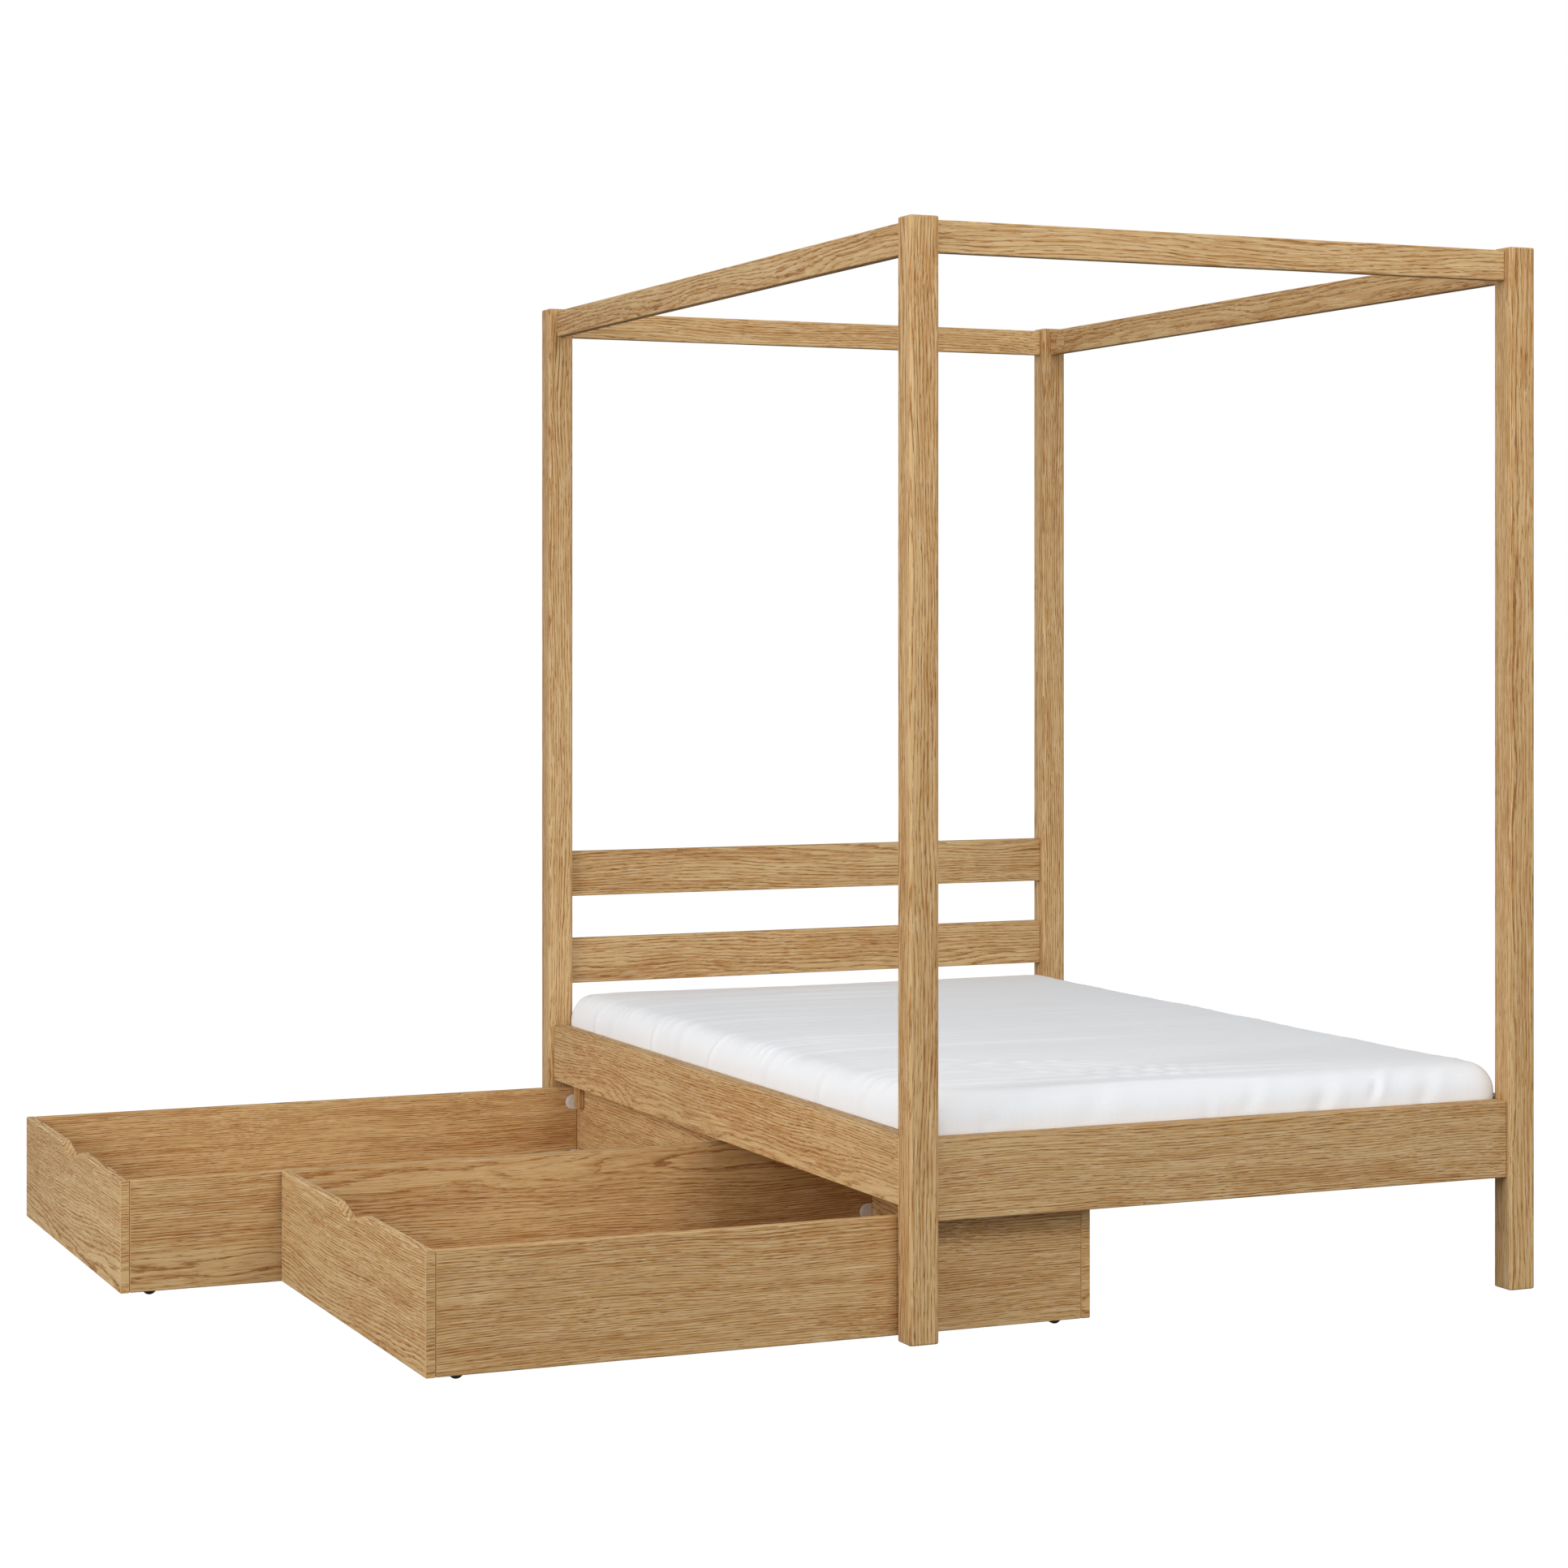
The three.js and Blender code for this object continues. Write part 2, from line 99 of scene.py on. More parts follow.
class OakFinish(bpy.types.PropertyGroup):
    """Colours and figure of the oiled oak."""

    pale: FloatVectorProperty(
        name="Pale streaks", description="Colour of the palest streaks",
        subtype="COLOR", size=3, min=0, max=1, default=(0.63, 0.43, 0.205))
    middle: FloatVectorProperty(
        name="Ground", description="Colour of most of the wood",
        subtype="COLOR", size=3, min=0, max=1, default=(0.525, 0.312, 0.128))
    dark: FloatVectorProperty(
        name="Dark streaks", description="Colour of the brown streaks along the rings",
        subtype="COLOR", size=3, min=0, max=1, default=(0.44, 0.212, 0.070))
    flake: FloatVectorProperty(
        name="Flakes", description="Colour of the short pale lines between the pores",
        subtype="COLOR", size=3, min=0, max=1, default=(0.76, 0.59, 0.37))
    pore: FloatVectorProperty(
        name="Pores", description="Colour inside the open pores",
        subtype="COLOR", size=3, min=0, max=1, default=(0.23, 0.095, 0.030))
    ring: FloatProperty(
        name="Ring spacing", description="Thickness of one year's growth",
        subtype="DISTANCE", unit="LENGTH", min=0.001, max=0.02, default=0.0042)
    shine: FloatProperty(
        name="Roughness", description="Roughness of the oiled surface",
        subtype="FACTOR", min=0, max=1, default=0.6)


class MattressFinish(bpy.types.PropertyGroup):
    """Shape and colour of the mattress."""

    mesh_size: FloatVectorProperty(
        name="Mesh size", description="Size of the simulated mesh's faces across, along and up the bed",
        subtype="XYZ", unit="LENGTH", size=3, min=0.006, max=0.05, default=(0.015, 0.0095, 0.012))
    inset: FloatVectorProperty(
        name="Inset", description="How much smaller the mattress starts before it swells",
        subtype="XYZ", unit="LENGTH", size=3, min=0, max=0.02, default=(0.0, 0.0, 0.005))
    bulge: FloatProperty(
        name="Bulge", description="How far the sides lean out over the rails",
        subtype="DISTANCE", unit="LENGTH", min=0, max=0.02, default=0.011)
    swell: FloatProperty(
        name="Swell limit", description="Furthest that the stuffing may push the cover out",
        subtype="DISTANCE", unit="LENGTH", min=0, max=0.03, default=0.007)
    crease: FloatProperty(
        name="Crease depth", description="Depth of the drawn creases in the cover",
        subtype="DISTANCE", unit="LENGTH", min=0, max=0.01, default=0.0022)
    cover: FloatVectorProperty(
        name="Cover", description="Colour of the cotton cover",
        subtype="COLOR", size=3, min=0, max=1, default=(0.882, 0.902, 0.930))


class FittingFinish(bpy.types.PropertyGroup):
    """Small plastic and steel parts."""

    white: FloatVectorProperty(
        name="White plastic", description="Colour of the corner fittings",
        subtype="COLOR", size=3, min=0, max=1, default=(0.75, 0.74, 0.73))
    black: FloatVectorProperty(
        name="Black plastic", description="Colour of the wheels and their forks",
        subtype="COLOR", size=3, min=0, max=1, default=(0.012, 0.012, 0.013))
    steel: FloatVectorProperty(
        name="Steel", description="Colour of the screws and axles",
        subtype="COLOR", size=3, min=0, max=1, default=(0.62, 0.61, 0.59))
    facets: IntProperty(
        name="Round facets", description="Number of faces round a turned part",
        min=12, max=128, default=48)


class StudioSettings(bpy.types.PropertyGroup):
    """Camera and lights."""

    camera_place: FloatVectorProperty(
        name="Camera place", description="Camera position from the middle of the bed's plan, on the floor",
        subtype="XYZ", unit="LENGTH", size=3, default=(-3.1625, -6.8102, 1.2547))
    turn: FloatProperty(
        name="Turn", description="Clockwise turn of the camera from the bed's length",
        subtype="ANGLE", unit="ROTATION", default=0.4443)
    lens: FloatProperty(
        name="Lens", description="Focal length on a 36 mm wide film", subtype="DISTANCE_CAMERA",
        min=10, max=200, default=82.36)
    shift_x: FloatProperty(
        name="Shift across", description="Sideways shift of the picture", default=-0.1558)
    shift_y: FloatProperty(
        name="Shift up", description="Upward shift of the picture", default=-0.0979)
    sky: FloatProperty(
        name="Room light", description="Strength of the white room", min=0, max=4, default=1.0)
    ground: FloatProperty(
        name="Ground light", description="Light from below, as a part of the room light",
        subtype="FACTOR", min=0, max=1, default=0.07)
    behind: FloatProperty(
        name="Light from behind", description="Light from the far side, as a part of the room light",
        subtype="FACTOR", min=0, max=1, default=0.65)
    key: FloatProperty(
        name="Key light", description="Power of the softbox at the front left",
        subtype="POWER", unit="POWER", min=0, max=5000, default=123)
    fill: FloatProperty(
        name="Fill light", description="Power of the softbox over the foot end",
        subtype="POWER", unit="POWER", min=0, max=5000, default=118)


# ---------------------------------------------------------------- mesh building

def grid_faces(rows, columns, wrap_columns=False):
    """Quads joining a rows by columns grid of points. Wrapped, the last column joins the first."""
    r = np.arange(rows - 1)[:, None]
    c = np.arange(columns if wrap_columns else columns - 1)[None, :]
    r2, c2 = r + 1, (c + 1) % columns
    quads = np.stack([r * columns + c, r * columns + c2, r2 * columns + c2, r2 * columns + c], axis=-1)
    return quads.reshape(-1, 4)


def make_piece(name, points, faces):
    """Puts arrays of points and quads into a new mesh object that sits at the origin."""
    mesh = bpy.data.meshes.new(name)
    points = np.asarray(points, dtype=np.float32).reshape(-1, 3)
    faces = np.asarray(faces, dtype=np.int32)
    sides = faces.shape[1]
    mesh.vertices.add(len(points))
    mesh.vertices.foreach_set("co", points.ravel())
    mesh.loops.add(faces.size)
    mesh.loops.foreach_set("vertex_index", faces.ravel())
    mesh.polygons.add(len(faces))
    mesh.polygons.foreach_set("loop_start", np.arange(len(faces), dtype=np.int32) * sides)
    mesh.update(calc_edges=True)
    mesh.validate()
    work = bmesh.new()
    work.from_mesh(mesh)
    bmesh.ops.remove_doubles(work, verts=work.verts, dist=1e-6)
    bmesh.ops.dissolve_degenerate(work, dist=1e-7, edges=work.edges)
    bmesh.ops.recalc_face_normals(work, faces=work.faces)
    work.to_mesh(mesh)
    work.free()
    mesh.polygons.foreach_set("use_smooth", np.full(len(mesh.polygons), True))
    mesh.update()
    piece = bpy.data.objects.new(name, mesh)
    bpy.context.scene.collection.objects.link(piece)
    return piece


def basis(axis):
    """Two unit directions square to a given axis, and the axis itself."""
    axis = np.array(axis, float) / np.linalg.norm(axis)
    helper = np.array([0.0, 0.0, 1.0]) if abs(axis[2]) < 0.9 else np.array([1.0, 0.0, 0.0])
    first = np.cross(helper, axis)
    first /= np.linalg.norm(first)
    return first, np.cross(axis, first), axis


def turned(profile, centre, axis, facets):
    """A turned shape: each profile point (radius, height) is carried round the axis, so a point is
    centre + radius (cos t a + sin t b) + height c, with a, b, c the basis of the axis. Returns points
    and quads; a profile that starts and ends on the axis closes the shape."""
    a, b, c = basis(axis)
    profile = np.asarray(profile, float)
    t = np.linspace(0, 2 * np.pi, facets, endpoint=False)
    radius, height = profile[:, 0][:, None, None], profile[:, 1][:, None, None]
    ring = np.cos(t)[None, :, None] * a + np.sin(t)[None, :, None] * b
    points = np.asarray(centre, float) + radius * ring + height * c
    return points.reshape(-1, 3), grid_faces(len(profile), facets, wrap_columns=True)


def arc(centre, radius, start, end, steps):
    """Points on a circle's arc: centre + radius (cos t, sin t), t from start to end in degrees."""
    t = np.radians(np.linspace(start, end, steps))
    return np.stack([centre[0] + radius * np.cos(t), centre[1] + radius * np.sin(t)], axis=1)


def joined(parts):
    """Several (points, quads) surfaces as one."""
    points, faces, offset = [], [], 0
    for part_points, part_faces in parts:
        points.append(np.reshape(part_points, (-1, 3)))
        faces.append(part_faces + offset)
        offset += len(points[-1])
    return np.concatenate(points), np.concatenate(faces)


def slab(outline, low, high, edge):
    """A flat plate from a closed outline: rings of the outline are stacked from low to high, drawn in
    by the edge radius at both faces and closed to their middle."""
    outline = np.asarray(outline, float)
    middle = outline.mean(axis=0)
    reach = np.linalg.norm(outline - middle, axis=1, keepdims=True)
    inward = (middle - outline) / reach
    levels = [(reach, low), (reach * 0.5, low), (edge, low), (0.0, low + edge),
              (0.0, high - edge), (edge, high), (reach * 0.5, high), (reach, high)]
    rings = [np.column_stack([outline + inward * amount, np.full(len(outline), level)])
             for amount, level in levels]
    return np.stack(rings).reshape(-1, 3), grid_faces(len(levels), len(outline), wrap_columns=True)


def edges(piece, degrees):
    """Keeps edges sharper than the given angle crisp in the smooth shading."""
    piece.data.set_sharp_from_angle(angle=math.radians(degrees))


# ---------------------------------------------------------------- materials

class Recipe:
    """Short hand for wiring up one material's or one group's nodes."""

    def __init__(self, tree):
        self.tree = tree
        self.nodes = tree.nodes

    def add(self, kind, settings=None, **inputs):
        """Adds a node, sets its properties, and feeds its inputs by name from sockets or plain values."""
        node = self.nodes.new(kind)
        for key, value in (settings or {}).items():
            setattr(node, key, value)
        for key, value in inputs.items():
            self.feed(node, key, value)
        return node

    def feed(self, node, key, value):
        """Feeds one input, found by its number if the key is like _0, else by its name."""
        numbered = key[0] == "_" and key[1:].isdigit()
        socket = node.inputs[int(key[1:]) if numbered else key.replace("_", " ")]
        if isinstance(value, bpy.types.NodeSocket):
            self.tree.links.new(value, socket)
        else:
            socket.default_value = value

    def sum(self, operation, *values, clamp=False):
        """One Math node."""
        node = self.add("ShaderNodeMath", {"operation": operation, "use_clamp": clamp})
        for i, value in enumerate(values):
            self.feed(node, f"_{i}", value)
        return node.outputs[0]

    def vector(self, operation, *values):
        """One Vector Math node."""
        node = self.add("ShaderNodeVectorMath", {"operation": operation})
        for i, value in enumerate(values):
            self.feed(node, f"_{i}", value)
        return node.outputs["Value" if operation in {"LENGTH", "DOT_PRODUCT"} else "Vector"]

    def noise(self, vector, scale, detail=2.0, rough=0.5):
        """One Noise Texture's value. A scale of three numbers draws the pattern out."""
        if isinstance(scale, tuple):
            vector, scale = self.vector("MULTIPLY", vector, scale), 1.0
        node = self.add("ShaderNodeTexNoise", Vector=vector, Scale=scale, Detail=detail, Roughness=rough)
        return node.outputs["Fac"]

    def centred(self, value, middle, gain):
        """A value less its middle, times a gain."""
        return self.sum("MULTIPLY", self.sum("SUBTRACT", value, middle), gain)

    def inverse(self, value):
        """One less a value."""
        return self.sum("SUBTRACT", 1.0, value)

    def step(self, value, low, high, start=0.0, end=1.0):
        """A smooth step of a value from one limit to another."""
        node = self.add("ShaderNodeMapRange", {"interpolation_type": "SMOOTHSTEP"}, Value=value)
        for i, limit in enumerate((low, high, start, end)):
            self.feed(node, f"_{i + 1}", limit)
        return node.outputs[0]

    def mix(self, factor, first, second, blend="MIX"):
        """A colour mix."""
        node = self.add("ShaderNodeMix", {"data_type": "RGBA", "blend_type": blend})
        self.feed(node, "_0", factor)
        self.feed(node, "_6", first)
        self.feed(node, "_7", second)
        return node.outputs[2]

    def surface(self, **inputs):
        """A Principled surface, wired to the material's output."""
        shader = self.add("ShaderNodeBsdfPrincipled", **inputs)
        self.add("ShaderNodeOutputMaterial", Surface=shader.outputs[0])


def new_recipe(name):
    """A new material with an empty node tree, and the recipe that fills it."""
    material = bpy.data.materials.new(name)
    material.use_nodes = True
    material.node_tree.nodes.clear()
    return material, Recipe(material.node_tree)


def rgba(colour, gain=1.0):
    """A colour with alpha, made lighter or darker by a gain."""
    return tuple(min(1.0, c * gain) for c in colour) + (1.0,)


# cells to the metre of the oak's noises: along the grain, across the wide face, through the thickness
WAVE_CELLS = (1.5, 4.5, 4.5)
RING_CELLS = (9.0, 70.0, 70.0)
CLOUD_CELLS = (1.6, 26.0, 26.0)
STREAK_CELLS = (7.0, 330.0, 330.0)
FLAKE_CELLS = (13.0, 640.0, 640.0)
PORE_CELLS = (36.0, 800.0, 800.0)
FIBRE_CELLS = (70.0, 1700.0, 1700.0)
WAVE_ACROSS, WAVE_THROUGH = 0.042, 0.05     # how far the grain wanders, in metres
RING_WOBBLE = 0.006                         # how far a ring strays, in metres
ARRIS = 0.0035                              # how far in from an edge the painted highlight reaches, in metres
EDGE_HIGHLIGHT_COLOUR = (0.66, 0.43, 0.19, 1.0)            # the colour of the painted highlight along the edges


def oak_figure(oak):
    """The oak's figure as one group. The wood is solid: growth rings are wavy cylinders round a pith that
    runs along the board, so a ring's age is the distance from the pith over the ring spacing, bent by
    slow noise. Streaks, pale flakes and pores are noise drawn out along the bent grain: pores are short
    dark dashes that crowd into the first wood of each ring."""
    tree = bpy.data.node_groups.new("oak_figure", "ShaderNodeTree")
    vector, number, colour = "NodeSocketVector", "NodeSocketFloat", "NodeSocketColor"
    for way, sockets in (
            ("INPUT", {"Place": vector, "Half": vector, "Pith": vector, "Seed": number, "Seam": number}),
            ("OUTPUT", {"Colour": colour, "Roughness": number, "Height": number})):
        for label, kind in sockets.items():
            tree.interface.new_socket(label, in_out=way, socket_type=kind)
    r = Recipe(tree)
    place, half, pith, seed, seam = r.add("NodeGroupInput").outputs[:5]
    shift = r.add("ShaderNodeCombineXYZ", X=r.sum("MULTIPLY", seed, 7.31),
                  Y=r.sum("MULTIPLY", seed, 3.77), Z=r.sum("MULTIPLY", seed, 5.13)).outputs[0]
    # distance in from each pair of faces
    inward = r.add("ShaderNodeSeparateXYZ",
                   Vector=r.vector("SUBTRACT", half, r.vector("ABSOLUTE", place))).outputs
    end_face = r.inverse(r.step(inward[0], 0.0, 0.0008))
    # on a board's ends the lines run straight through its thickness
    squeeze = r.add("ShaderNodeCombineXYZ", X=1.0, Y=1.0,
                    Z=r.inverse(r.sum("MULTIPLY", end_face, 0.94))).outputs[0]
    squeezed = r.vector("MULTIPLY", place, squeeze)
    own = r.vector("ADD", squeezed, shift)
    # the grain's slow wave, sideways and through the thickness
    slow = r.vector("MULTIPLY", own, WAVE_CELLS)
    other = r.vector("ADD", slow, (9.1, 4.2, 2.3))
    wave = r.add("ShaderNodeCombineXYZ", X=0.0,
                 Y=r.centred(r.noise(slow, 1.0, 2.0, 0.45), 0.5, WAVE_ACROSS),
                 Z=r.centred(r.noise(other, 1.0, 2.0, 0.45), 0.5, WAVE_THROUGH)).outputs[0]
    bent = r.vector("ADD", own, wave)
    # the growth rings: dark first wood, each ring of its own strength
    off = r.vector("MULTIPLY", r.vector("ADD", r.vector("SUBTRACT", squeezed, pith), wave), (0.0, 1.0, 1.0))
    wobble = r.sum("MULTIPLY", r.noise(bent, RING_CELLS, 2.0, 0.6), RING_WOBBLE)
    age = r.sum("DIVIDE", r.sum("ADD", r.vector("LENGTH", off), wobble), oak.ring)
    year = r.sum("FRACT", age)
    band = r.sum("MAXIMUM", r.inverse(r.step(year, 0.05, 0.55)), r.step(year, 0.88, 1.0))
    strength = r.add("ShaderNodeTexWhiteNoise", {"noise_dimensions": "1D"},
                     W=r.sum("FLOOR", age)).outputs["Value"]
    band = r.sum("MULTIPLY", band, r.sum("ADD", r.sum("MULTIPLY", strength, 0.6), 0.4))
    cloud = r.noise(bent, CLOUD_CELLS, 3.0, 0.6)
    streak = r.noise(bent, STREAK_CELLS, 2.0, 0.6)
    fibre = r.noise(bent, FIBRE_CELLS, 1.0, 0.5)
    dash = r.noise(bent, PORE_CELLS, 1.0, 0.5)
    crowd = r.sum("ADD", r.sum("MULTIPLY", band, 0.28), r.centred(cloud, 0.5, 0.2))
    pores = r.step(r.sum("ADD", dash, crowd), 0.68, 0.74)
    flake = r.step(r.noise(bent, FLAKE_CELLS, 1.0, 0.5), 0.56, 0.64)
    # the tone runs from pale at 0 through the ground at a half to dark at 1
    tone = r.sum("ADD", r.centred(streak, 0.5, 2.4), 0.50)
    for part, middle, gain in ((band, 0.3, 0.75), (cloud, 0.5, 1.5), (fibre, 0.5, 0.5)):
        tone = r.sum("ADD", tone, r.centred(part, middle, gain))
    paler = r.mix(r.sum("MULTIPLY", tone, 2.0, clamp=True), rgba(oak.pale), rgba(oak.middle))
    darker = r.sum("SUBTRACT", r.sum("MULTIPLY", tone, 2.0), 1.0, clamp=True)
    shade = r.mix(darker, paler, rgba(oak.dark))
    shade = r.mix(r.sum("MULTIPLY", flake, 0.5), shade, rgba(oak.flake))
    shade = r.mix(r.sum("MULTIPLY", pores, 0.75), shade, rgba(oak.pore))
    # how close a point is to each pair of faces: 1 on the face, 0 a few millimetres in
    near = [r.inverse(r.step(distance, 0.0, ARRIS)) for distance in inward]
    pairs = [r.sum("MULTIPLY", near[i], near[j]) for i, j in ((0, 1), (1, 2), (0, 2))]
    edge = r.sum("MAXIMUM", r.sum("MAXIMUM", pairs[0], pairs[1]), pairs[2])
    # painted highlight: along every edge the colour is made paler and warmer, in patches, standing in for
    # light caught by the rounded arrises
    edge_highlight = r.sum("MULTIPLY", edge, r.sum("ADD", 0.3, r.sum("MULTIPLY", r.noise(own, 38.0, 2.0), 0.6)))
    shade = r.mix(r.sum("MULTIPLY", edge_highlight, 0.55), shade, EDGE_HIGHLIGHT_COLOUR)
    shade = r.mix(r.sum("MULTIPLY", end_face, 0.1), shade, rgba(oak.dark, 0.8))
    # the dark hairline where a board's end meets another board
    joint = r.sum("MULTIPLY", r.inverse(r.step(inward[0], 0.0001, 0.0008)), seam)
    shade = r.mix(r.sum("MULTIPLY", joint, 0.3), shade, rgba(oak.pore))
    rough = r.sum("ADD", oak.shine, r.sum("MULTIPLY", pores, 0.2))
    rough = r.sum("SUBTRACT", rough, r.sum("MULTIPLY", edge, 0.08))
    height = r.sum("SUBTRACT", r.sum("MULTIPLY", fibre, 0.2), pores)
    height = r.sum("SUBTRACT", height, r.sum("MULTIPLY", band, 0.25))
    r.add("NodeGroupOutput", Colour=shade, Roughness=rough, Height=height)
    return tree


def board_material(name, figure, node, seed, pith, seam, tint):
    """Oak for one board: its figure is centred on the board and turned so that the grain runs along it."""
    low, high = corners(node)
    centre, half = (low + high) / 2, (high - low) / 2
    grain, wide, thin = [int(i) for i in np.argsort(half)[::-1]]
    material, r = new_recipe(name)
    spot = r.add("ShaderNodeMapping", Vector=r.add("ShaderNodeTexCoord").outputs["Object"],
                 Location=tuple(-centre)).outputs[0]
    xyz = r.add("ShaderNodeSeparateXYZ", Vector=spot).outputs
    place = r.add("ShaderNodeCombineXYZ", X=xyz[grain], Y=xyz[wide], Z=xyz[thin]).outputs[0]
    group = r.add("ShaderNodeGroup", {"node_tree": figure}, Place=place,
                  Half=(half[grain], half[wide], half[thin]), Pith=pith, Seed=seed, Seam=seam)
    colour = r.mix(1.0, group.outputs["Colour"], tuple(tint) + (1.0,), "MULTIPLY")
    bump = r.add("ShaderNodeBump", Height=group.outputs["Height"], Strength=0.35, Distance=0.0004)
    r.surface(Base_Color=colour, Roughness=group.outputs["Roughness"], Normal=bump.outputs[0],
              Specular_IOR_Level=0.14)
    return material


def plastic(name, colour, rough):
    """Moulded plastic: a fine pebbled skin, faint clouding and dust-dulled patches."""
    material, r = new_recipe(name)
    spot = r.add("ShaderNodeTexCoord").outputs["Object"]
    cloud = r.noise(spot, 60.0, 3.0)
    pebble = r.noise(spot, 900.0, 2.0)
    shade = r.mix(cloud, rgba(colour, 0.88), rgba(colour, 1.12))
    scuff = r.step(r.noise(spot, 160.0, 4.0, 0.7), 0.58, 0.72)
    shade = r.mix(r.sum("MULTIPLY", scuff, 0.12), shade, rgba(colour, 1.6))
    roughness = r.sum("ADD", rough, r.sum("MULTIPLY", r.sum("ADD", scuff, cloud), 0.12))
    bump = r.add("ShaderNodeBump", Height=pebble, Strength=0.2, Distance=0.0002)
    r.surface(Base_Color=shade, Roughness=roughness, Normal=bump.outputs[0])
    return material


def screw_steel(name, colour):
    """Zinc plated steel with fine turning marks and a little staining."""
    material, r = new_recipe(name)
    spot = r.add("ShaderNodeTexCoord").outputs["Object"]
    stain = r.noise(spot, 420.0, 3.0, 0.6)
    shade = r.mix(stain, rgba(colour, 0.8), rgba(colour, 1.1))
    bump = r.add("ShaderNodeBump", Height=r.noise(spot, 2600.0, 1.0), Strength=0.15, Distance=0.0001)
    r.surface(Base_Color=shade, Roughness=r.sum("ADD", 0.22, r.sum("MULTIPLY", stain, 0.25)),
              Normal=bump.outputs[0], Metallic=1.0)
    return material


def cover_cotton(name, finish):
    """White cotton jersey: fine ribs of knit running up the sides and along the top, soft slubs and a
    faint cloudiness, with a light sheen from the raised fibres."""
    material, r = new_recipe(name)
    spot = r.add("ShaderNodeTexCoord").outputs["Object"]
    normal = r.add("ShaderNodeNewGeometry").outputs["Normal"]
    upward = r.step(r.sum("ABSOLUTE", r.add("ShaderNodeSeparateXYZ", Vector=normal).outputs[2]), 0.4, 0.8)
    side_ribs = r.noise(spot, (330.0, 330.0, 9.0), 2.0, 0.6)
    top_ribs = r.noise(spot, (10.0, 330.0, 330.0), 2.0, 0.6)
    ribs = r.sum("ADD", r.sum("MULTIPLY", top_ribs, upward), r.sum("MULTIPLY", side_ribs, r.inverse(upward)))
    loops = r.noise(spot, 1500.0, 1.0)
    cloud = r.noise(spot, 5.0, 3.0, 0.55)
    slub = r.step(r.noise(spot, (40.0, 260.0, 260.0), 2.0), 0.62, 0.75)
    shade = r.mix(cloud, rgba(finish.cover, 0.97), rgba(finish.cover, 1.03))
    shade = r.mix(r.sum("MULTIPLY", r.step(ribs, 0.35, 0.75), 0.5), shade, rgba(finish.cover, 0.955))
    shade = r.mix(r.sum("MULTIPLY", slub, 0.3), shade, rgba(finish.cover, 1.06))
    height = r.sum("ADD", r.sum("MULTIPLY", ribs, 0.8), r.sum("ADD", r.sum("MULTIPLY", loops, 0.4), slub))
    bump = r.add("ShaderNodeBump", Height=height, Strength=0.28, Distance=0.0005)
    r.surface(Base_Color=shade, Roughness=r.sum("ADD", 0.86, r.sum("MULTIPLY", ribs, 0.1)),
              Normal=bump.outputs[0], Sheen_Weight=0.18, Sheen_Roughness=0.5, Specular_IOR_Level=0.2)
    return material


def dress(piece, material):
    """Gives a piece one material."""
    piece.data.materials.clear()
    piece.data.materials.append(material)


# ---------------------------------------------------------------- operators

class BED_OT_oak(bpy.types.Operator):
    """Finish every oak and pine board with its own length of solid figured wood"""

    bl_idname = "bed.oak"
    bl_label = "Finish the boards"

    def execute(self, context):
        oak = context.scene.bed_oak
        figure = oak_figure(oak)
        slots = {part["node"]: part["material_slot"] for part in frame["record"]["subparts"]}
        rng = np.random.default_rng(24)
        for i, node in enumerate(NODES):
            slot = slots[node]
            if slot not in {"oak", "oak_inside", "pine"}:
                continue
            low, high = corners(node)
            half = np.sort((high - low) / 2)
            # the pith lies outside the board, beyond one of its wide faces and mostly to one side
            away = half[0] + rng.uniform(0.03, 0.10)
            aside = rng.choice((-1, 1)) * (half[1] * rng.uniform(0.5, 1.5) + rng.uniform(0.01, 0.06))
            shade = rng.uniform(0.95, 1.05)
            warm = rng.uniform(-0.015, 0.015)
            # painted light and shade: some boards' colour is scaled paler or darker by their gain
            shade *= next((gain for word, gain in BOARD_LIGHT_GAINS.items() if word in node), 1.0)
            tint = (shade * (1 + warm), shade, shade * (1 - 1.5 * warm))
            if slot != "oak":
                tint = PINE_TINT if slot == "pine" else PLAIN_TINT
            seam = 1.0 if "_wall_" in node else 0.0
            material = board_material(f"wood_{node}", figure, node, float(i), (0.0, aside, away), seam, tint)
            for place in frame["nodes"][node].material_slots:
                place.material = material
        return {"FINISHED"}


# the mattress's rounding along its edges and at its corners in plan, and how near its cover comes to
# the rails and posts, in metres
ROUND_EDGE, ROUND_CORNER = 0.037, 0.038
COVER_GAP = 0.0005


class BED_OT_mattress(bpy.types.Operator):
    """Make the mattress: a padded cover swollen by cloth simulation, then creased"""

    bl_idname = "bed.mattress"
    bl_label = "Make the mattress"

    def execute(self, context):
        finish = context.scene.bed_mattress
        low, high = corners("mattress")
        low, high = low + np.array(finish.inset), high - np.array(finish.inset)
        centre, half = (low + high) / 2, (high - low) / 2
        points, faces = cushion_block(half, ROUND_EDGE, ROUND_CORNER, np.array(finish.mesh_size))
        piece = make_piece("mattress_cover", points + centre, faces)
        swell(piece, finish.swell)
        refine(piece)
        crease(piece, centre, half, finish.crease, finish.bulge)
        press(piece, centre, COVER_GAP)
        dress(piece, cover_cotton("cover_cotton", finish))
        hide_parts("mattress")
        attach(piece, "bed")
        return {"FINISHED"}


